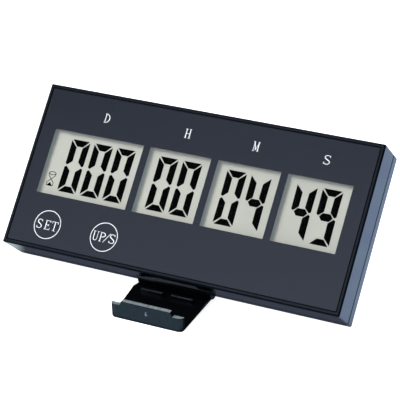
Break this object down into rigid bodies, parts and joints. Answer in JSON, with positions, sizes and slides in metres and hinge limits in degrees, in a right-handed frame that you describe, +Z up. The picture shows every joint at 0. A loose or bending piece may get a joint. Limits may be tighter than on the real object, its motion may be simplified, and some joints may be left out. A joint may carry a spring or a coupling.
{
  "type": "tabletop countdown clock",
  "caption": "Slim rectangular tabletop countdown clock with a windowed digit display, flat touch keys, a battery door and a foot that draws out of the bottom and tips forwards.",
  "frame": {"origin": "centre of the foot's flat sole, on the floor", "axes": "+X to the right seen from the front, +Y backwards, +Z up; the case leans back 43.5 degrees from upright"},
  "size_m": [0.13, 0.0673, 0.0549],
  "materials": {
    "case_front": "satin",
    "case_rear": "satin",
    "panel_print": "gloss",
    "clear_lens": "gloss",
    "tape": "matte",
    "lcd_face": "satin",
    "lcd_glass": "gloss",
    "lcd_back": "satin",
    "foam": "matte",
    "elastomer": "matte",
    "circuit_board": "satin",
    "potting": "gloss",
    "small_parts": "matte",
    "can_metal": "satin",
    "spring_steel": "satin",
    "buzzer_brass": "satin",
    "buzzer_ceramic": "matte",
    "wire_black": "satin",
    "wire_red": "satin",
    "cell_jacket": "satin",
    "magnet": "satin",
    "door": "satin",
    "foot_plastic": "satin",
    "pin_steel": "satin",
    "screw_black": "satin",
    "screw_zinc": "satin"
  },
  "bodies": {
    "case": {"front_shell": "case_front", "rear_shell": "case_rear", "panel_film": "panel_print", "lens_panel": "clear_lens", "lens_tape": "tape", "lcd_front_polariser": "lcd_face", "lcd_front_glass": "lcd_glass", "lcd_rear_glass": "lcd_glass", "lcd_reflector": "lcd_back", "lcd_foam_pad": "foam", "zebra_strip": "elastomer", "main_pcb": "circuit_board", "chip_blob": "potting", "crystal": "can_metal", "smd_parts": "small_parts", "touch_springs": "spring_steel", "buzzer_disc": "buzzer_brass", "buzzer_ceramic": "buzzer_ceramic", "buzzer_wires": "wire_black", "battery_cells": "cell_jacket", "contact_positive": "spring_steel", "contact_negative": "spring_steel", "contact_bridge": "spring_steel", "battery_wire_positive": "wire_red", "battery_wire_negative": "wire_black", "magnets": "magnet", "case_screws": "screw_black", "pcb_screws": "screw_zinc"},
    "foot_slider": {"foot_pin": "pin_steel"},
    "foot": {"foot": "foot_plastic"},
    "battery_door": {"battery_door": "door"}
  },
  "joints": [
    {"name": "foot_slide", "type": "slide", "parent": "case", "child": "foot_slider", "axis": [0, 0.6884, 0.7254], "range_m": [0, 0.023]},
    {"name": "foot_tilt", "type": "hinge", "parent": "foot_slider", "child": "foot", "pos_m": [0, 0.01215, 0.003], "axis": [1, 0, 0], "range_deg": [0, 46.5]},
    {"name": "door_lift", "type": "slide", "parent": "case", "child": "battery_door", "axis": [0, 0.7254, -0.6884], "range_m": [0, 0.015]}
  ],
  "couplings": [
    {"joint": "foot_tilt", "follows": "foot_slide", "rad_per_m": 35.286}
  ]
}
